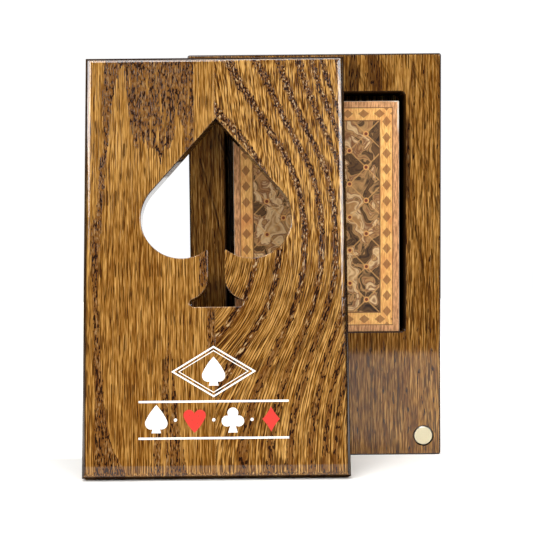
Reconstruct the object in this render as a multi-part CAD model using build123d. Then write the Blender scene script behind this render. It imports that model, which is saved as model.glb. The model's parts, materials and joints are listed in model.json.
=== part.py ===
import os
from math import asin, atan2, cos, pi, radians, sin

from build123d import *

# A wooden case for one pack of playing cards. Two oak boards of one outline:
# the thick base stands upright and holds the pack in a milled pocket, and the
# thin lid, with a spade cut right through it, stands in front of it, shifted
# to the left, and leans back on the base's face. Disc magnets let into two
# opposite corners of each board hold the case shut.
#
# Millimetres. +X is right, -Y is the front, +Z is up. The origin is the centre
# of the end face that the base stands on.

# Playing cards
card_width = 63.5
card_height = 88.9
card_thickness = 0.3
card_count = 54
card_corner = 3.2
card_corner_steps = 3
card_air = 0.01
card_foot_gap = 0.05

# Tuck box
sheet = 0.4
play_across = 0.3
play_up = 0.7
play_deep = 0.4
fold_seam = 0.1
tuck_length = 13.0
tuck_corner = 4.0
dust_flap_length = 20.0
fold_round = 0.4
thumb_notch_radius = 9.0

# Boards
board_width = 98.4
board_height = 157.9
base_thickness = 25.0
lid_thickness = 8.0
edge_round = 0.9
lid_face_round = 2.5
spade_edge_round = 0.4

# Pocket
pocket_gap_left = 3.2
pocket_gap_right = 2.1
pocket_gap_top = 3.4
pocket_seat_gap = 0.05
pocket_back_gap = 0.1
pocket_bottom = 49.3
pocket_corner = 1.8
pocket_mouth_ease = 0.4
pack_recess = 1.5

# Magnets
magnet_diameter = 7.6
magnet_length = 3.0
magnet_rim_ease = 0.35
magnet_ring_gap = 0.3
magnet_glue = 0.05
magnet_inset_side = 6.9
magnet_inset_end = 7.7

# Spade, measured on the lid from its foot end and from its own middle line
spade_aside = 0.4
spade_tip = 133.9
lobe_radius = 15.3
lobe_aside = 13.0
lobe_up = 95.9
stem_half_width = 3.1
notch_round = 0.5
flare_height = 8.2
foot_half_width = 10.0
foot_end_round = 1.45
foot_bottom = 62.45

# How the lid stands
lid_lean = 10.7
lid_shift = 38.4
lid_rest_gap = 0.6

# The tuck box's outside and the pocket round it
stack_depth = card_count * card_thickness
carton_width = card_width + 2 * play_across + 2 * sheet
carton_height = card_height + play_up + 2 * sheet
carton_depth = stack_depth + play_deep + 3 * sheet
pocket_width = carton_width + pocket_gap_left + pocket_gap_right
pocket_height = carton_height + pocket_gap_top + pocket_seat_gap
pocket_depth = carton_depth + pack_recess + pocket_back_gap
pack_middle = (pocket_gap_left - pocket_gap_right) / 2
pack_foot = pocket_bottom + pocket_seat_gap
base_front = -base_thickness / 2
pack_front = base_front + pack_recess

# Both boards carry magnets in the lower right and the upper left corner
magnet_aside = board_width / 2 - magnet_inset_side
magnet_places = {
    "lower": (magnet_aside, magnet_inset_end),
    "upper": (-magnet_aside, board_height - magnet_inset_end),
}
magnet_hole_radius = magnet_diameter / 2 + magnet_ring_gap
magnet_hole_depth = magnet_length + magnet_glue

STANDING = (Align.CENTER, Align.CENTER, Align.MIN)
FROM_FRONT = (Align.CENTER, Align.MIN, Align.MIN)
FROM_BACK = (Align.CENTER, Align.MAX, Align.MIN)


def edges_at(shape, axis, place):
    """The edges of shape that lie in the plane at place along axis."""
    return shape.edges().filter_by_position(axis, place - 1e-4, place + 1e-4)


def disc_from(face_y, x, z, radius, length):
    """A disc lying along Y, from face_y towards +Y."""
    disc = extrude(Plane.XZ * Circle(radius), -length)
    return Pos(x, face_y, z) * disc


def magnet_disc(face_y, x, z):
    """One nickel-plated disc, its rims eased, from face_y towards +Y."""
    disc = disc_from(0, 0, 0, magnet_diameter / 2, magnet_length)
    return Pos(x, face_y, z) * chamfer(disc.edges().filter_by(GeomType.CIRCLE), magnet_rim_ease)


def base_board():
    """The thick board, with the pack's pocket and two magnet holes in its face."""
    board = Box(board_width, base_thickness, board_height, align=STANDING)
    board = fillet(board.edges(), edge_round)
    pocket = Box(pocket_width, pocket_depth, pocket_height, align=FROM_FRONT)
    pocket = fillet(pocket.edges().filter_by(Axis.Y), pocket_corner)
    board -= Pos(0, base_front, pocket_bottom) * pocket
    mouth = [
        edge
        for edge in edges_at(board, Axis.Y, base_front)
        if abs(edge.center().X) < pocket_width / 2 + 1e-3
        and pocket_bottom - 1e-3 < edge.center().Z < pocket_bottom + pocket_height + 1e-3
    ]
    board = chamfer(mouth, pocket_mouth_ease)
    for x, z in magnet_places.values():
        board -= disc_from(base_front, x, z, magnet_hole_radius, magnet_hole_depth)
    return board


def spade_face():
    """The spade's outline as a face in the XZ plane, symmetrical about X = 0."""
    # From the tip, a straight edge runs down to the lobe's circle and touches it
    tip_to_lobe = (lobe_aside**2 + (spade_tip - lobe_up) ** 2) ** 0.5
    slope = atan2(lobe_aside, spade_tip - lobe_up) + asin(lobe_radius / tip_to_lobe)
    touch_x = lobe_aside + lobe_radius * cos(slope)
    touch_z = lobe_up + lobe_radius * sin(slope)
    # The lobe's circle runs on round the bottom to the stem
    notch_drop = (lobe_radius**2 - (lobe_aside - stem_half_width) ** 2) ** 0.5
    notch_z = lobe_up - notch_drop
    notch_slope = atan2(notch_drop, lobe_aside - stem_half_width) - pi
    halfway = (slope + notch_slope) / 2
    # A flare that touches the stem joins it to the foot, whose ends are half round
    foot_in = foot_half_width - foot_end_round
    foot_middle = foot_bottom + foot_end_round
    foot_top = foot_bottom + 2 * foot_end_round
    flare_top = foot_top + flare_height
    with BuildSketch(Plane.XZ) as sketch:
        with BuildLine():
            Line((0, spade_tip), (touch_x, touch_z))
            ThreePointArc(
                (touch_x, touch_z),
                (lobe_aside + lobe_radius * cos(halfway), lobe_up + lobe_radius * sin(halfway)),
                (stem_half_width, notch_z),
            )
            Line((stem_half_width, notch_z), (stem_half_width, flare_top))
            TangentArc((stem_half_width, flare_top), (foot_in, foot_top), tangent=(0, -1))
            ThreePointArc((foot_in, foot_top), (foot_half_width, foot_middle), (foot_in, foot_bottom))
            Line((foot_in, foot_bottom), (0, foot_bottom))
            Line((0, foot_bottom), (0, spade_tip))
        make_face()
        mirror(about=Plane.YZ)
        cusps = [
            corner
            for corner in sketch.vertices()
            if abs(corner.Y - notch_z) < 1e-4 and abs(abs(corner.X) - stem_half_width) < 1e-4
        ]
        fillet(cusps, notch_round)
    return sketch.sketch


def lid_board():
    """The thin board, upright: its back face at Y = 0, its foot end at Z = 0."""
    board = Box(board_width, lid_thickness, board_height, align=FROM_BACK)
    board = fillet(edges_at(board, Axis.Y, -lid_thickness), lid_face_round)
    board = fillet(edges_at(board, Axis.Y, 0), edge_round)
    board -= Pos(spade_aside, 0, 0) * extrude(spade_face(), lid_thickness)
    spade_rim = [
        edge
        for edge in edges_at(board, Axis.Y, -lid_thickness)
        if abs(edge.center().X - spade_aside) < lobe_aside + lobe_radius
        and foot_bottom - 1e-3 < edge.center().Z < spade_tip
    ]
    board = fillet(spade_rim, spade_edge_round)
    for x, z in magnet_places.values():
        board -= disc_from(-magnet_hole_depth, x, z, magnet_hole_radius, magnet_hole_depth)
    return board


def stand_lid(piece):
    """Lean a piece of the upright lid back on the base, and shift it to the left."""
    lean = radians(lid_lean)
    # The rounded edges let the tilted board come this much lower and further back
    tuck_in = edge_round * (sin(lean) + cos(lean) - 1)
    foot_y = base_front - lid_rest_gap + tuck_in - board_height * sin(lean)
    return Pos(-lid_shift, foot_y, -tuck_in) * Rot(-lid_lean, 0, 0) * piece


def carton():
    """The tuck box: a folded sleeve, closed below, with its top flap tucked in behind."""
    inside_width = carton_width - 2 * sheet
    inside_depth = carton_depth - 2 * sheet
    wall_top = carton_height - sheet - fold_seam
    sleeve = Box(carton_width, carton_depth, carton_height, align=FROM_FRONT)
    sleeve = fillet(sleeve.edges().filter_by(Axis.Z), fold_round)
    sleeve = fillet(edges_at(sleeve, Axis.Z, carton_height).sort_by(Axis.Y)[0], fold_round)
    hollow = Box(inside_width, inside_depth, carton_height - 2 * sheet, align=FROM_FRONT)
    sleeve -= Pos(0, sheet, sheet) * hollow
    # A seam parts the top panel from the side and back walls
    seam = Box(2 * carton_width, carton_depth, fold_seam, align=FROM_FRONT)
    sleeve -= Pos(0, sheet, wall_top) * seam
    # A dust flap folds in from each side wall, under the top panel
    dust_flap = Box(
        dust_flap_length,
        inside_depth - sheet - 4 * fold_seam,
        sheet,
        align=(Align.MIN, Align.MIN, Align.MAX),
    )
    dust_flap = Pos(-inside_width / 2, sheet + 2 * fold_seam, wall_top) * dust_flap
    sleeve += dust_flap + mirror(dust_flap, Plane.YZ)
    # The thumb notch in the back wall's upper edge
    notch = disc_from(carton_depth - 2 * sheet, 0, wall_top, thumb_notch_radius, 3 * sheet)
    notch &= Box(carton_width, 2 * carton_depth, 2 * wall_top)
    sleeve -= Pos(0, sheet / 2, 0) * notch
    # The top panel ends in a tongue that goes down inside the back wall
    tongue_width = inside_width - 2 * play_across
    tongue = Box(tongue_width, sheet, tuck_length, align=(Align.CENTER, Align.MAX, Align.MAX))
    tongue = fillet(edges_at(tongue, Axis.Z, -tuck_length).filter_by(Axis.Y), tuck_corner)
    sleeve += Pos(0, carton_depth - sheet, carton_height - sheet) * tongue
    return Pos(pack_middle, pack_front, pack_foot) * sleeve


def card_outline():
    """A card's outline, its corners rounded in a few steps that keep the whole pack light."""
    points = []
    for quarter, (aside, up) in enumerate([(1, 1), (-1, 1), (-1, -1), (1, -1)]):
        middle_x = aside * (card_width / 2 - card_corner)
        middle_z = up * (card_height / 2 - card_corner)
        for step in range(card_corner_steps + 1):
            turn = (quarter + step / card_corner_steps) * pi / 2
            points.append((middle_x + card_corner * cos(turn), middle_z + card_corner * sin(turn)))
    return make_face(Polyline(points, close=True))


def cards():
    """The pack itself: every card is a solid of its own, face to face in the box."""
    card = extrude(Plane.XZ * card_outline(), -(card_thickness - card_air))
    front_card = pack_front + sheet + play_deep / 2
    middle_height = pack_foot + sheet + card_foot_gap + card_height / 2
    deck = [
        Pos(pack_middle, front_card + n * card_thickness, middle_height) * card
        for n in range(card_count)
    ]
    return Compound(children=deck)


def nodes():
    """Every piece by its name, where it stands in the case."""
    pieces = {
        "base_board": base_board(),
        "lid_board": stand_lid(lid_board()),
        "carton": carton(),
        "cards": cards(),
    }
    for name, (x, z) in magnet_places.items():
        pieces[f"base_magnet_{name}"] = magnet_disc(base_front, x, z)
        pieces[f"lid_magnet_{name}"] = stand_lid(magnet_disc(-magnet_length, x, z))
    return pieces


os.makedirs("parts", exist_ok=True)
for name, piece in nodes().items():
    export_step(piece, f"parts/{name}.step")
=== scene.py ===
import json
from math import atan2, cos, pi, radians, sin

import bmesh
import bpy
from mathutils import Euler, Matrix, Vector


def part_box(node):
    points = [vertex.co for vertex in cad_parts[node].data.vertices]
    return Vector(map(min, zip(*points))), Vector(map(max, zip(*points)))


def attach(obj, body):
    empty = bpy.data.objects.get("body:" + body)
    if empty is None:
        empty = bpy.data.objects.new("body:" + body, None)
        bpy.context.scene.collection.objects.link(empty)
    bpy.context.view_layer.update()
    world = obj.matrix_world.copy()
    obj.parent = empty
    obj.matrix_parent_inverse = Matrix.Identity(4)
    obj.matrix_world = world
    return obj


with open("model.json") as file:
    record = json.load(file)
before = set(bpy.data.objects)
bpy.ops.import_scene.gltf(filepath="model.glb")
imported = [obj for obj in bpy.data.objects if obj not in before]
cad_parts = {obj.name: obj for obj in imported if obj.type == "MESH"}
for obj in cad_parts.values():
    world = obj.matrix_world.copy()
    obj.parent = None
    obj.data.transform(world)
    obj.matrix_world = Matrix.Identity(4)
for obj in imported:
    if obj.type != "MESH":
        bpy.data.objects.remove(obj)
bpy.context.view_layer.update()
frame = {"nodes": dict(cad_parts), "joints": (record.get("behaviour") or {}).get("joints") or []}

# A wooden playing card case on a white table. Places and sizes are in millimetres
# and become metres where they go into Blender. +X is right, -Y the front, +Z up.

MM = 0.001


# Values that vary over a surface

class Field:
    """A value that varies over a surface. Arithmetic on it wires Math nodes."""

    def __init__(self, finish, socket):
        self.finish = finish
        self.socket = socket

    def using(self, operation, *others):
        node = self.finish.nodes.new("ShaderNodeMath")
        node.operation = operation
        for place, value in zip(node.inputs, (self, *others)):
            self.finish.feed(place, value)
        return Field(self.finish, node.outputs[0])

    def __add__(self, other):
        return self.using("ADD", other)

    def __sub__(self, other):
        return self.using("SUBTRACT", other)

    def __mul__(self, other):
        return self.using("MULTIPLY", other)

    def __truediv__(self, other):
        return self.using("DIVIDE", other)

    def __abs__(self):
        return self.using("ABSOLUTE")

    def root(self):
        return self.using("SQRT")

    def least(self, other):
        return self.using("MINIMUM", other)

    def most(self, other):
        return self.using("MAXIMUM", other)

    def wave(self, period):
        """The distance from the nearest multiple of the period, 0 to half of it."""
        return self.using("PINGPONG", period / 2)

    def flipped(self):
        """One minus this."""
        return self.finish.number(1).using("SUBTRACT", self)

    def above(self, start, end):
        """0 below start, 1 above end, smooth between; start may be the larger one."""
        node = self.finish.nodes.new("ShaderNodeMapRange")
        node.interpolation_type = "SMOOTHSTEP"
        for place, value in zip(node.inputs[:5], (self, start, end, 0.0, 1.0)):
            self.finish.feed(place, value)
        return Field(self.finish, node.outputs[0])


def srgb(red, green, blue):
    """A screen colour, 0 to 255, as the linear colour that nodes take."""
    parts = (value / 255 for value in (red, green, blue))
    linear = [p / 12.92 if p <= 0.04045 else ((p + 0.055) / 1.055) ** 2.4 for p in parts]
    return (*linear, 1.0)


class Finish:
    """A material and the short calls that wire it. Lengths are in millimetres."""

    def __init__(self, name):
        self.material = bpy.data.materials.new(name)
        self.material.use_nodes = True
        self.nodes = self.material.node_tree.nodes
        self.links = self.material.node_tree.links
        self.shader = self.nodes["Principled BSDF"]

    def feed(self, place, value):
        if isinstance(value, Field):
            self.links.new(value.socket, place)
        else:
            place.default_value = value

    def number(self, value):
        node = self.nodes.new("ShaderNodeValue")
        node.outputs[0].default_value = value
        return Field(self, node.outputs[0])

    def mapped(self, source, origin, turn, unit):
        """Three fields, one of the object's own coordinates in the axes and unit given."""
        coordinates = self.nodes.new("ShaderNodeTexCoord")
        mapping = self.nodes.new("ShaderNodeMapping")
        mapping.vector_type = "TEXTURE"
        mapping.inputs["Location"].default_value = origin
        mapping.inputs["Rotation"].default_value = turn
        mapping.inputs["Scale"].default_value = (unit, unit, unit)
        self.links.new(coordinates.outputs[source], mapping.inputs["Vector"])
        split = self.nodes.new("ShaderNodeSeparateXYZ")
        self.links.new(mapping.outputs[0], split.inputs[0])
        return [Field(self, output) for output in split.outputs]

    def place(self, origin=Vector((0, 0, 0)), turn=Euler((0, 0, 0))):
        """Three fields, the place on the object in the axes given, in millimetres."""
        return self.mapped("Object", origin, turn, MM)

    def facing(self, turn=Euler((0, 0, 0))):
        """Three fields, the way the surface faces in the axes given."""
        return self.mapped("Normal", Vector((0, 0, 0)), turn, 1)

    def noise(self, x, y, z, detail=2.0, roughness=0.5):
        """Noise in cells one unit wide. A place divided by a length gives cells of that length."""
        vector = self.nodes.new("ShaderNodeCombineXYZ")
        for place, value in zip(vector.inputs, (x, y, z)):
            self.feed(place, value)
        node = self.nodes.new("ShaderNodeTexNoise")
        self.links.new(vector.outputs[0], node.inputs["Vector"])
        node.inputs["Scale"].default_value = 1.0
        node.inputs["Detail"].default_value = detail
        node.inputs["Roughness"].default_value = roughness
        return Field(self, node.outputs[0])

    def ramp(self, value, stops):
        """A colour or a number for each value, through (place, result) stops from 0 to 1."""
        node = self.nodes.new("ShaderNodeValToRGB")
        self.feed(node.inputs[0], value)
        band = node.color_ramp.elements
        while len(band) < len(stops):
            band.new(1.0)
        for element, (place, colour) in zip(band, stops):
            element.position = place
            element.color = colour if isinstance(colour, tuple) else (colour,) * 3 + (1,)
        return Field(self, node.outputs[0])

    def through(self, value, points):
        """A line through (value, result) points in rising order, level beyond its ends."""
        first, last = points[0][0], points[-1][0]
        low = min(result for _, result in points)
        high = max(result for _, result in points)
        stops = [((at - first) / (last - first), (result - low) / (high - low))
                 for at, result in points]
        return self.ramp((value - first) / (last - first), stops) * (high - low) + low

    def mix(self, share, first, second):
        """The second colour over the first, by a share of 0 to 1."""
        node = self.nodes.new("ShaderNodeMix")
        node.data_type = "RGBA"
        share_input, colour_inputs, colour_output = 0, (6, 7), 2
        self.feed(node.inputs[share_input], share)
        for place, colour in zip(colour_inputs, (first, second)):
            self.feed(node.inputs[place], colour)
        return Field(self, node.outputs[colour_output])

    def set(self, **sockets):
        for name, value in sockets.items():
            title = name.replace("_", " ").title().replace("Ior", "IOR")
            self.feed(self.shader.inputs[title], value)

    def relief(self, height, depth, sockets=("Normal",), strength=1.0):
        """Raises the surface by height, a field of 0 to 1, times depth in millimetres."""
        node = self.nodes.new("ShaderNodeBump")
        node.inputs["Strength"].default_value = strength
        node.inputs["Distance"].default_value = depth * MM
        self.feed(node.inputs["Height"], height)
        for name in sockets:
            self.links.new(node.outputs[0], self.shader.inputs[name])


# Wood

GOLD = srgb(196, 150, 84)
HONEY = srgb(144, 101, 43)
BROWN = srgb(98, 57, 13)
UMBER = srgb(50, 22, 3)
STAIN = srgb(92, 54, 20)
PORE = srgb(34, 14, 3)
# A near-black brown, for dark stain and for painted shade.
STAIN_AND_SHADE = srgb(24, 11, 4)
# Pale specks for the pores: partly dusty filler, partly painted glints.
DUST_AND_GLINT = srgb(178, 150, 106)

PORE_DEPTH, PORE_STRENGTH = 0.035, 0.5


def lid_space():
    """The lid's own axes: across it, out of its back and up it, from its back's lower edge.
    Gives back the place and turn of these axes, and how far out its front face is."""
    pivot = next(joint for joint in frame["joints"] if joint["name"] == "lid_turn")
    normal = pivot["axis"]
    turn = Euler((-atan2(-normal[2], normal[1]), 0, 0))
    upright = turn.to_matrix().transposed()
    corners = [upright @ vertex.co for vertex in frame["nodes"]["lid_board"].data.vertices]
    low, high = [Vector([pick(c[i] for c in corners) for i in range(3)]) for pick in (min, max)]
    foot = turn.to_matrix() @ Vector(((low.x + high.x) / 2, high.y, low.z))
    return foot, turn, (low.y - high.y) / MM


LID_FOOT, LID_TURN, LID_FACE = lid_space()


def lacquered_oak(finish, fibre, deep, along, fall, *,
                  lines, grains, ribs, bands, shade, stain_and_shade, bare):
    """Oak under lacquer. fibre is the place across the fibres, and fall the height as the pores
    take it. lines, grains, ribs and bands say how strong the long fibre lines, the short grain,
    the close dark lines and the porous growth bands are, 0 to 1. shade says how dark the wood is,
    the next argument how much dark stain and painted shade lie on it, and bare how much of the
    lacquer is missing. Gives back the surface's height."""
    drift = finish.noise(fibre / 14, deep / 14, along / 80) - 0.5
    streak = finish.noise(fibre / 0.38, deep / 0.38, along / 22, 1.0, 0.6) - 0.5
    grain = finish.noise(fibre / 0.30, deep / 0.30, along / 4, 1.0, 0.6) - 0.5
    tone = streak * lines * 0.62 + grain * grains * 1.6 + drift * 0.2 + shade
    ground = finish.ramp(tone, [(0.30, GOLD), (0.46, HONEY), (0.57, BROWN), (0.72, UMBER)])
    thin = finish.noise(fibre / 0.40 + 13, deep / 0.40, along / 9, 0.0).above(0.58, 0.63)
    ground = finish.mix(thin * 0.78, ground, UMBER)
    rib = (fibre + grain * 0.5).wave(0.78).above(0.2, 0.32)
    ground = finish.mix(rib * ribs, ground, UMBER)

    # In the porous bands dark pores stand in stained wood, and pale specks are painted into some
    # of them, partly dusty filler and partly painted glints of the lacquer.
    net = finish.noise(fibre / 0.48 + 31, deep / 0.48, fall, 1.0)
    edge = bands * -0.20 + 0.69
    pores = net.above(edge, edge + 0.04) * bands.above(0.05, 0.3)
    dust_and_glint = net.above(0.38, 0.33) * bands.above(0.7, 0.95)
    colour = finish.mix(bands.above(0.1, 1.0) * 0.85, ground, STAIN)
    colour = finish.mix(pores * 0.95, colour, PORE)
    colour = finish.mix(dust_and_glint * 0.85, colour, DUST_AND_GLINT)
    # Painted shade and dark stain, as the caller gives them, darken the wood.
    colour = finish.mix(stain_and_shade, colour, STAIN_AND_SHADE)
    finish.set(base_color=colour, roughness=0.6, ior=1.5, specular_ior_level=0.0)
    finish.set(coat_weight=finish.number(1) - bare, coat_roughness=0.06)
    return dust_and_glint * 0.9 - pores * 0.45 - thin * 0.3


def lid_rings(finish, across, deep, along, wobble, fray):
    """The right half's growth rings, round a heart in the left half and steeper far above and
    below it. Gives back the porous bands, the place across the fibres, and how far below the
    heart a place is."""
    heart_x, heart_z, flatness = -24.25, 89.5, 1.49
    aside = across - heart_x
    fall = (along * -1.0 + heart_z).most(0.0)
    rise = (along - heart_z).most(0.0)
    far_fall = (fall - 38).most(0.0)
    far_rise = (rise - 32).most(0.0)
    dip = fall * fall - far_fall * far_fall * 1.8
    climb = rise * rise * 1.35 - far_rise * far_rise * 1.9
    reach = (aside * aside + (dip + climb) / flatness).root() + deep * 0.5
    reach = reach + wobble * 1.6 + fray * 1.8

    # Each ring's distance from the heart and its strength. Beyond the last they lie evenly.
    rings = ((35.9, 0.95), (44.5, 1.0), (53.9, 0.95), (60.2, 0.9), (65.4, 0.9), (71.0, 0.85),
             (75.2, 0.8))
    half_width, span = 2.1, 110
    stops = [(0.0, 0.1)]
    for middle, strength in rings:
        stops += [((middle - half_width) / span, 0.0), (middle / span, strength),
                  ((middle + half_width) / span, 0.0)]
    inner = finish.ramp(reach / span, stops)
    spacing = 4.5
    outer = ((reach + 0.5).wave(spacing) / (spacing / 2)).above(0.35, 0.95) * 0.8
    outside = reach.above(77.2, 77.8)
    bands = (inner * outside.flipped() + outer * outside).above(0.15, 0.7)
    bands = bands * (fall.above(18, 50) * reach.above(44, 56) * -0.22 + 0.95)

    # The fibres stand almost upright above the heart and follow the rings below it.
    fibre = (aside * aside + (dip + climb * 0.12) / flatness).root()
    return bands, fibre, fall


def lid_marks(finish, across, deep, along, jag, fray):
    """The left half's dark marks: a porous stripe near the edge, a flame at the top, a thin one
    at the foot, and two short ones against the middle."""
    place = across + jag * 1.2 + fray
    stripe_left = finish.through(along, [(5, -44.5), (28, -44.3), (58, -45.4), (93, -46.6),
                                         (97, -44.4), (118, -43.1), (126, -41.8), (141, -42.9),
                                         (156, -41.5)])
    stripe_right = finish.through(along, [(3, -33), (9, -36.8), (14, -38.7), (28, -41),
                                          (47, -42.6), (73, -43.5), (97, -42.2), (118, -40.5),
                                          (133, -39.5), (149, -37.3), (156, -34.3)])
    stripe = place.above(stripe_left - 0.3, stripe_left + 0.3)
    stripe = stripe * place.above(stripe_right + 0.3, stripe_right - 0.3)

    flame_foot = finish.through(across, [(-34.5, 152), (-32.5, 137), (-31, 127), (-29.6, 122),
                                         (-27.7, 124.5), (-22.3, 121.2), (-20.2, 115.7),
                                         (-19.2, 121), (-16.8, 123.5), (-14.8, 127.2),
                                         (-14.1, 132.8), (-12.9, 133), (-11.4, 129),
                                         (-10.8, 118)])
    flame_foot = flame_foot + jag * 12 + fray * 4
    flame = along.above(flame_foot, flame_foot + 0.8)
    flame = flame * place.above(-34.6, -34.2) * place.above(-7.6, -8.0)
    gaps = finish.noise(across / 1.3, deep / 1.3, along / 16, 1.0).above(0.58, 0.66)
    gaps = gaps * along.above(121, 128) * along.above(156, 150)
    flame = flame * (gaps * -0.75 + 1.0)

    foot_half = along * -0.135 + 7.3
    foot = abs(place + 17.2).above(foot_half, foot_half - 0.6)
    foot = foot * (jag * 3.0 + 0.55).above(0.3, 0.6)
    knot = (across + jag * 2).above(-3.6, -2.8) * along.above(44, 47) * along.above(64, 61)
    cheek = place.above(-6.3, -5.7) * along.above(69, 71) * along.above(85, 83)
    return stripe.most(flame).most(foot).most(knot).most(cheek)


def lid_rims(finish, across, deep, along):
    """Where shade is painted, on the cut's downward walls and its front rim, on the board's turned
    edges and under its foot, and where the lacquer is missing, on the rims and near the foot."""
    aside, out, up = finish.facing(LID_TURN)
    # The walls of the spade's cut and its front rim.
    walls = abs(out).above(0.5, 0.2) * abs(across).above(44, 43)
    walls = walls * along.above(54, 55) * along.above(150, 148)
    rim = walls * deep.above(-6.4, -7.0)
    # The board's rounded front border, where it turns to the sides, the top and the foot.
    border = abs(across).above(45.5, 46.5).most(along.above(3.5, 2.5)).most(along.above(154, 155))
    border = border * deep.above(-4.5, -5.5)
    foot_edge = up.above(-0.6, -0.8) * border
    turned = abs(aside).most(up)
    edges = (turned.above(0.3, 0.6) * border).most(foot_edge)
    # Painted shade: these places take the near-black brown, by the way they face and where they
    # lie.
    stain_and_shade = (walls * up.above(0.3, -0.1)).most(rim).most(edges) * 0.9
    bare = rim.most(turned.above(0.8, 0.93) * border).most(foot_edge)
    return stain_and_shade, bare.most(along.above(11, 5) * 0.4)


def lid_oak():
    """The lid's wood. Its grain changes down the middle, from straight to a wide heart's rings."""
    finish = Finish("lid_oak_lacquered")
    across, deep, along = finish.place(LID_FOOT, LID_TURN)
    wobble = finish.noise(across / 9, deep / 9, along / 26) - 0.5
    jag = finish.noise(across / 1.2, deep / 3, along / 40) - 0.5
    fray = finish.noise(across / 0.9, deep / 2, along / 2.6) - 0.5
    rings, ring_fibre, fall = lid_rings(finish, across, deep, along, wobble, fray)
    marks = lid_marks(finish, across, deep, along, jag, fray)
    stain_and_shade, bare = lid_rims(finish, across, deep, along)
    right = across.above(-0.4, 0.0)
    left = right.flipped()
    lower = fall.above(-2, 14) * right
    height = lacquered_oak(
        finish, across * left + ring_fibre * right, deep, along,
        along * (right * 0.5 + 0.5) + fall * right * 0.55,
        lines=right * -0.3 + 1.0,
        grains=right * 0.55 - lower * 0.4 + 0.25,
        ribs=lower * 0.7,
        bands=marks * left * 0.8 + rings * right,
        shade=along.above(85, 112) * left * -0.045 - right * 0.03 + 0.49,
        stain_and_shade=stain_and_shade, bare=bare)
    # The lacquer has run down to a lip along the foot, which leans forward to the table.
    lip = ((along - 2.2) / 2.3).most(0.0).least(1.0)
    finish.relief(height + lip * 26.0, PORE_DEPTH, ("Normal", "Coat Normal"), PORE_STRENGTH)
    finish.set(coat_ior=1.65)
    return finish


def base_oak():
    """The base's wood: straight fibres and porous rings, with a heart's dark lines over them."""
    finish = Finish("base_oak_lacquered")
    across, deep, along = finish.place()
    aside, _, up = finish.facing()
    turned = abs(aside).most(abs(up))
    broad = turned.above(0.5, 0.2)
    wobble = finish.noise(across / 12, deep / 12, along / 60) - 0.5
    spacing = 4.2
    rings = (across * 0.9 + deep * 0.8 + along * 0.02 + wobble * 7).wave(spacing)
    rings = (rings / (spacing / 2)).above(0.5, 0.95)

    # Dark lines of the heart's rings, closing upwards, drawn over the straight fibres.
    rise = (along - 47).most(0.0)
    aslant = (across + rise * rise * 0.0025 + wobble * 2 + 43.6).wave(10.9)
    heart = aslant.above(0.6, 0.15).most(abs(aslant - 1.3).above(0.3, 0.1) * 0.6)
    breaks = finish.noise(across / 2, deep / 2, along / 9, 1.0) * 1.6
    heart = heart * breaks.above(0.5, 0.9) * broad

    # A dark streak beside the pocket, and porous flames over it.
    beside = abs(across - 36.2 + wobble).above(1.3, 0.5) * abs(along - 117).above(19, 14)
    over = finish.noise(across / 2.6 + 5, deep / 9, along / 28, 1.0).above(0.48, 0.56)
    over = over * abs(across - 17 + wobble * 4).above(10, 8) * along.above(139, 144) * broad

    # Painted shade darkens the front edge roundings, the pocket's walls and the base's left part
    # behind the lid, and the heart's dark lines are grain darkened with the same colour.
    edges = turned.above(0.2, 0.45) * deep.above(-11.0, -11.6)
    pocket = turned.above(0.5, 0.8) * abs(across).above(37, 36)
    pocket = pocket * along.above(48, 49) * along.above(145, 144)
    # Painted shade on the base's left part, which lies behind the lid.
    shade_behind_lid = across.above(-30, -35) * 0.3
    stain_and_shade = (edges.most(pocket) * 0.9).most(shade_behind_lid + heart * 0.45)
    height = lacquered_oak(
        finish, across, deep, along, along / 4,
        lines=0.95, grains=0.28, ribs=0.1,
        bands=(rings * 0.5).most(over * 0.7).most(beside * 0.8),
        shade=0.49,
        stain_and_shade=stain_and_shade.most(over * 0.35).most(beside * 0.45),
        bare=(turned.above(0.5, 0.75) * edges).most(pocket))
    finish.relief(height, PORE_DEPTH, ("Normal", "Coat Normal"), PORE_STRENGTH)
    finish.set(coat_ior=1.5)
    return finish


# Metal, paper and print

def nickel():
    """Fine-grained plating, with a painted highlight on the rim where a disc's edge is eased."""
    finish = Finish("nickel_plate")
    x, y, z = finish.place()
    grain = finish.noise(x / 0.25, y / 0.25, z / 0.25, 3.0)
    _, out, _ = finish.facing()
    plate = finish.mix(grain, srgb(224, 214, 184), srgb(210, 200, 168))
    # Painted highlight: near-white where the surface turns away from the front, on the eased rim.
    finish.set(base_color=finish.mix(abs(out).above(0.97, 0.85), plate, srgb(252, 250, 242)))
    finish.set(metallic=1.0, roughness=grain * 0.08 + 0.26)
    finish.relief(grain, 0.01)
    return finish


def card_paper():
    """Coated card, with the layers of the pack along its edges."""
    finish = Finish("card_paper_edges")
    x, y, z = finish.place()
    layers = finish.noise(x / 6, y / 0.12, z / 6)
    finish.set(base_color=finish.mix(layers, srgb(238, 232, 218), srgb(205, 197, 180)))
    finish.set(roughness=0.6)
    finish.relief(layers, 0.04)
    return finish


def lozenge_chain(side, rise, inset, half_x, half_z):
    """Lozenges in a row all round the print's band, inwards from the carton's edges."""
    inwards, spacing = 4.9, 6.2
    upright = abs(abs(side) - (half_x - inwards)) + rise.wave(spacing) * 0.8
    level = abs(abs(rise) - (half_z - inwards)) + side.wave(spacing) * 0.8
    chain = upright.above(1.75, 1.6).most(level.above(1.75, 1.6))
    return chain * inset.above(2.6, 2.8) * inset.above(7.2, 7.0)


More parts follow.
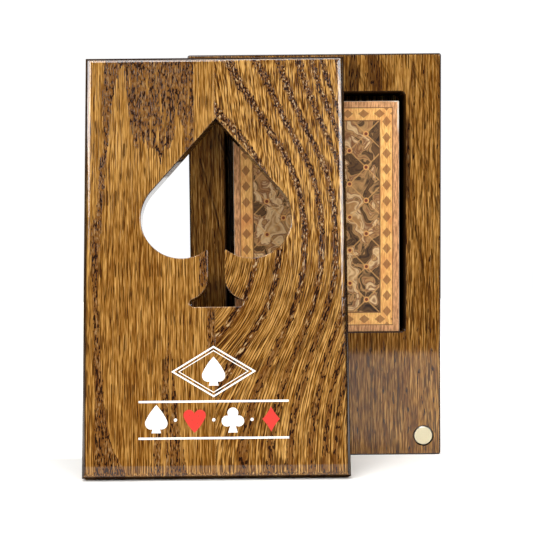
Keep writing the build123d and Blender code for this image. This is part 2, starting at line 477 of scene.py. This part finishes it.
def marbled_panel(finish, side, y, rise):
    """Marbling, light in the middle, under a thin lattice with a dot in each crossing."""
    bend = finish.noise(side / 16, y / 16, rise / 16, 2.0, 0.6)
    curl = finish.noise(side / 16 + 40, y / 16, rise / 16, 2.0, 0.6)
    vein = finish.noise(side / 8 + bend * 6, y / 8, rise / 14 + curl * 6, 3.0, 0.55)
    glow = (side * side + rise * rise * 0.5).root().above(38, 14)
    panel = finish.ramp(vein + (glow - 0.5) * 0.1, [
        (0.32, srgb(36, 22, 12)), (0.42, srgb(104, 72, 40)), (0.46, srgb(56, 36, 20)),
        (0.51, srgb(182, 138, 86)), (0.55, srgb(122, 74, 42)), (0.60, srgb(224, 190, 140)),
        (0.68, srgb(168, 122, 72))])
    spacing = 13.0
    falling, rising = (side + rise).wave(spacing), (side - rise).wave(spacing)
    crossing = (falling * falling + rising * rising).root()
    panel = finish.mix(falling.least(rising).above(0.42, 0.25) * 0.6, panel, srgb(210, 160, 96))
    panel = finish.mix(crossing.above(1.7, 1.5), panel, srgb(214, 160, 92))
    return finish.mix(crossing.above(1.0, 0.8), panel, srgb(120, 52, 32))


def printed_board():
    """Board with a print of its own on the front: a border, a band of lozenges and a panel."""
    finish = Finish("printed_board")
    x, y, z = finish.place()
    low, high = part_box("carton")
    middle_x, middle_z = (low.x + high.x) / 2 / MM, (low.z + high.z) / 2 / MM
    half_x, half_z = (high.x - low.x) / 2 / MM, (high.z - low.z) / 2 / MM
    side = x - middle_x
    rise = z - middle_z
    inset = (abs(side) * -1.0 + half_x).least(abs(rise) * -1.0 + half_z)

    fleck = finish.noise(x / 0.5, y / 0.5, z / 3.5, 3.0, 0.6)
    blotch = finish.noise(x / 5, y / 5, z / 9, 3.0, 0.6)
    border = finish.mix(fleck.above(0.35, 0.65), srgb(222, 166, 114), srgb(150, 100, 62))
    band = finish.mix(fleck.above(0.35, 0.65), srgb(246, 196, 118), srgb(206, 146, 76))
    band = finish.mix(blotch.above(0.45, 0.7) * 0.6, band, srgb(204, 128, 72))
    chain = lozenge_chain(side, rise, inset, half_x, half_z)
    band = finish.mix(chain * 0.75, band, srgb(126, 74, 40))
    border_end, band_end = 2.6, 7.6
    rules = abs(inset - border_end).above(0.22, 0.14)
    rules = rules.most(abs(inset - band_end).above(0.3, 0.2))
    colour = finish.mix(inset.above(border_end - 0.1, border_end + 0.1), border, band)
    panel = marbled_panel(finish, side, y, rise)
    colour = finish.mix(inset.above(band_end - 0.1, band_end + 0.2), colour, panel)
    colour = finish.mix(rules * 0.8, colour, srgb(96, 56, 34))

    # Plain pale board shows in a strip down the right edge near the top and along the top near
    # that corner, and the other sides are plain board.
    paper = finish.mix(blotch, srgb(236, 228, 210), srgb(216, 204, 182))
    bare_spots = side.above(half_x - 0.9, half_x - 0.5) * rise.above(half_z - 14, half_z - 8)
    bare_top = rise.above(half_z - 0.6, half_z - 0.3) * side.above(half_x - 5, half_x - 1)
    colour = finish.mix(bare_spots.most(bare_top) * fleck.above(0.35, 0.5), colour, paper)
    _, out, _ = finish.facing()
    colour = finish.mix(out.above(-0.6, -0.8), paper, colour)
    finish.set(base_color=colour, roughness=0.38, specular_ior_level=0.4)
    finish.relief(fleck, 0.01)
    return finish


def ink(name, colour):
    """Screen-printed ink, thin enough for the wood's pores to break it here and there."""
    finish = Finish(name)
    across, deep, along = finish.place(LID_FOOT, LID_TURN)
    bare_spots = finish.noise(across / 0.34, deep / 0.34, along / 1.9, 1.5).above(0.70, 0.76)
    finish.set(base_color=finish.mix(bare_spots * 0.7, colour, STAIN), roughness=0.35, coat_weight=0.4)
    finish.relief(bare_spots, -0.03)
    return finish


def dress(finish, *nodes):
    for node in nodes:
        materials = frame["nodes"][node].data.materials
        materials.clear()
        materials.append(finish.material)


dress(lid_oak(), "lid_board")
dress(base_oak(), "base_board")
dress(nickel(), "base_magnet_lower", "base_magnet_upper", "lid_magnet_lower", "lid_magnet_upper")
dress(printed_board(), "carton")
dress(card_paper(), "cards")


# The emblem on the lid: four suits between two rules, and a lozenge above them

INK_HEIGHT = 0.04


def flat_print(name, outlines, finish, holes=()):
    """Outlines in the lid's own millimetres, as a film of ink on the lid's front face. Each hole
    goes through the outline of the same number."""
    space = Matrix.Translation(LID_FOOT) @ LID_TURN.to_matrix().to_4x4()
    face = LID_FACE - INK_HEIGHT
    back = face + 2 * INK_HEIGHT
    mesh = bmesh.new()

    def ring(points, depth):
        return [mesh.verts.new(space @ (Vector((x, depth, z)) * MM)) for x, z in points]

    for number, points in enumerate(outlines):
        top = ring(points, face)
        foot = ring(points, back)
        if number < len(holes):
            inner_top = ring(holes[number], face)
            inner_foot = ring(holes[number], back)
            strips = [(top, inner_top), (foot, top), (inner_top, inner_foot)]
        else:
            mesh.faces.new(top)
            strips = [(foot, top)]
        for first, second in strips:
            for index in range(len(first)):
                after = (index + 1) % len(first)
                mesh.faces.new((first[index], first[after], second[after], second[index]))
    bmesh.ops.recalc_face_normals(mesh, faces=mesh.faces)
    data = bpy.data.meshes.new(name)
    mesh.to_mesh(data)
    mesh.free()
    data.materials.append(finish.material)
    piece = bpy.data.objects.new(name, data)
    bpy.context.scene.collection.objects.link(piece)
    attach(piece, "lid")


def traced(inside, middle, size, steps=144):
    """The outline of a shape that every ray from its middle leaves once; inside tests a point."""
    halvings = 24
    points = []
    for step in range(steps):
        angle = 2 * pi * step / steps
        near, far = 0.0, 2.0
        for _ in range(halvings):
            half = (near + far) / 2
            if inside(half * cos(angle), half * sin(angle)):
                near = half
            else:
                far = half
        points.append((middle[0] + near * size * cos(angle), middle[1] + near * size * sin(angle)))
    return points


# Tests of a point for the suits, each a little over one unit high, and for a dot of radius one.
# Each shape lies round the middle that its rays start from.

def within_stem(x, z):
    return -0.62 < z < 0.1 and abs(x) < 0.05 + 0.22 * max(0.0, -0.12 - z) ** 1.6 * 3.2


def within_heart(x, z):
    lobe = (abs(x) - 0.26) ** 2 + (z - 0.2) ** 2 < 0.27 ** 2
    body = z <= 0.2 and abs(x) < 0.53 * (1 - ((0.2 - z) / 0.82) ** 1.45) and z > -0.62
    return lobe or body


def within_spade(x, z):
    return within_heart(x, -z * 0.95 + 0.05) or within_stem(x, z)


def within_club(x, z):
    for middle_x, middle_z in ((0, 0.3), (-0.28, -0.08), (0.28, -0.08)):
        if (x - middle_x) ** 2 + (z - middle_z) ** 2 < 0.255 ** 2:
            return True
    return within_stem(x, z)


def within_diamond(x, z):
    return abs(x / 0.42) ** 0.88 + abs(z / 0.6) ** 0.88 < 1


def within_dot(x, z):
    return x * x + z * z < 1


def emblem():
    white = ink("ink_white", srgb(244, 243, 238))
    red = ink("ink_red", srgb(206, 52, 42))
    centre = -0.8
    rule_half, rule_thickness, rule_heights = 27.5, 0.75, (14.0, 27.3)
    lozenge_height, centre_spade_height, centre_spade_size = 38.6, 38.4, 8.0
    pip_height, pip_size, pip_spacing = 21.1, 7.7, 14
    dot_height, dot_radius, dot_steps = 21.0, 0.6, 24

    def lozenge(half_x, half_z):
        return [(centre + half_x, lozenge_height), (centre, lozenge_height + half_z),
                (centre - half_x, lozenge_height), (centre, lozenge_height - half_z)]

    def rule(bottom):
        left, right, top = centre - rule_half, centre + rule_half, bottom + rule_thickness
        return [(left, bottom), (right, bottom), (right, top), (left, top)]

    flat_print("emblem_rules", [rule(bottom) for bottom in rule_heights], white)
    outer = [lozenge(15.6, 9.4), lozenge(13.0, 7.8)]
    inner = [lozenge(14.5, 8.7), lozenge(12.5, 7.45)]
    flat_print("emblem_lozenge", outer, white, inner)
    spade = traced(within_spade, (centre, centre_spade_height), centre_spade_size)
    flat_print("emblem_centre_spade", [spade], white)
    pips = ((within_spade, white, "spade"), (within_heart, red, "heart"),
            (within_club, white, "club"), (within_diamond, red, "diamond"))
    for number, (inside, colour, name) in enumerate(pips):
        middle = (centre + (number - 1.5) * pip_spacing, pip_height)
        flat_print(f"emblem_{name}", [traced(inside, middle, pip_size)], colour)
    dots = [traced(within_dot, (centre + place * pip_spacing, dot_height), dot_radius, dot_steps)
            for place in (-1, 0, 1)]
    flat_print("emblem_dots", dots, white)


emblem()


# Table, light and camera

def plain_stage():
    """A white table, whose front edge shows only as a soft line in the lacquer. It is plain where
    the case's shadow falls, and glows with painted light behind, beside and far from the case."""
    left, right, front, back = -1500, 1500, -285, 600
    mesh = bpy.data.meshes.new("table")
    corners = ((left, front), (right, front), (right, back), (left, back))
    mesh.from_pydata([(x * MM, y * MM, 0) for x, y in corners], [], [(0, 1, 2, 3)])
    table = bpy.data.objects.new("table", mesh)
    bpy.context.scene.collection.objects.link(table)
    finish = Finish("table_white")
    x, y, z = finish.place()
    tone = finish.noise(x / 90, y / 90, z)
    finish.set(base_color=finish.mix(tone, (0.93, 0.925, 0.90, 1), (0.91, 0.905, 0.88, 1)))
    # Painted light: the table glows by emission behind, beside and far from the case, lifting
    # shadows there.
    near = y.above(-16, -6).most(abs(x).above(160, 300))
    far = y.above(100, 300).most(abs(x).above(400, 900))
    painted_glow = near * 0.5 + far * 0.5
    finish.set(emission_color=finish.mix(painted_glow, (0, 0, 0, 1), (1, 1, 1, 1)))
    finish.set(roughness=0.9, emission_strength=0.9)
    mesh.materials.append(finish.material)


def surroundings():
    """White to the eye. To light and reflections, a dim room with a white backdrop behind the
    case."""
    world = bpy.data.worlds.new("room")
    world.use_nodes = True
    nodes, links = world.node_tree.nodes, world.node_tree.links
    background = nodes["Background"]
    rays = nodes.new("ShaderNodeLightPath")
    way = nodes.new("ShaderNodeTexCoord")
    split = nodes.new("ShaderNodeSeparateXYZ")
    links.new(way.outputs["Generated"], split.inputs[0])
    backdrop = nodes.new("ShaderNodeMapRange")
    backdrop.interpolation_type = "SMOOTHSTEP"
    room, white, to_the_eye = 0.06, 1.5, 1.02
    for title, value in (("From Min", 0.75), ("From Max", 0.93),
                         ("To Min", room), ("To Max", white)):
        backdrop.inputs[title].default_value = value
    links.new(split.outputs["Y"], backdrop.inputs["Value"])
    level = nodes.new("ShaderNodeMapRange")
    level.inputs["To Max"].default_value = to_the_eye
    links.new(backdrop.outputs[0], level.inputs["To Min"])
    links.new(rays.outputs["Is Camera Ray"], level.inputs["Value"])
    links.new(level.outputs[0], background.inputs["Strength"])
    background.inputs["Color"].default_value = (1, 1, 1, 1)
    bpy.context.scene.world = world


def softbox(name, place, width, height, power):
    """A soft area light at a place, turned towards the middle of the case."""
    light = bpy.data.lights.new(name, "AREA")
    light.shape = "RECTANGLE"
    light.size = width * MM
    light.size_y = height * MM
    light.energy = power
    lamp = bpy.data.objects.new(name, light)
    lamp.location = Vector(place) * MM
    middle = Vector((-15, 0, 80))
    lamp.rotation_euler = (middle - Vector(place)).to_track_quat("-Z", "Y").to_euler()
    lamp.visible_camera = False
    bpy.context.scene.collection.objects.link(lamp)


def set_camera():
    """The photograph's viewpoint, found from the corners of both boards."""
    yaw, pitch, roll = radians(0.115), radians(4.075), radians(-0.547)
    upright = Matrix(((1, 0, 0), (0, 0, -1), (0, 1, 0)))
    view = Matrix.Rotation(roll, 3, "Z") @ upright
    view = view @ Matrix.Rotation(pitch, 3, "X") @ Matrix.Rotation(yaw, 3, "Z")
    right, down, forward = view
    focal_pixels, frame_pixels = 1114.2, 533
    camera = bpy.data.cameras.new("camera")
    camera.sensor_width = 36
    camera.lens = focal_pixels / frame_pixels * camera.sensor_width
    camera.clip_start = 10 * MM
    eye = bpy.data.objects.new("camera", camera)
    place = Vector((-20.18, -448.77, 106.65))
    axes = Matrix((right, -down, -forward)).transposed().to_4x4()
    eye.matrix_world = Matrix.Translation(place * MM) @ axes
    bpy.context.scene.collection.objects.link(eye)
    bpy.context.scene.camera = eye


plain_stage()
surroundings()
softbox("left_box", (-844, -559, 600), 1100, 380, 12)
softbox("right_box", (654, -743, 525), 950, 400, 9.3)
softbox("key_box", (-269, -598, 1206), 400, 240, 4)
softbox("top_box", (0, -170, 1300), 1200, 320, 8.5)
set_camera()
bpy.context.scene.view_settings.view_transform = "Standard"
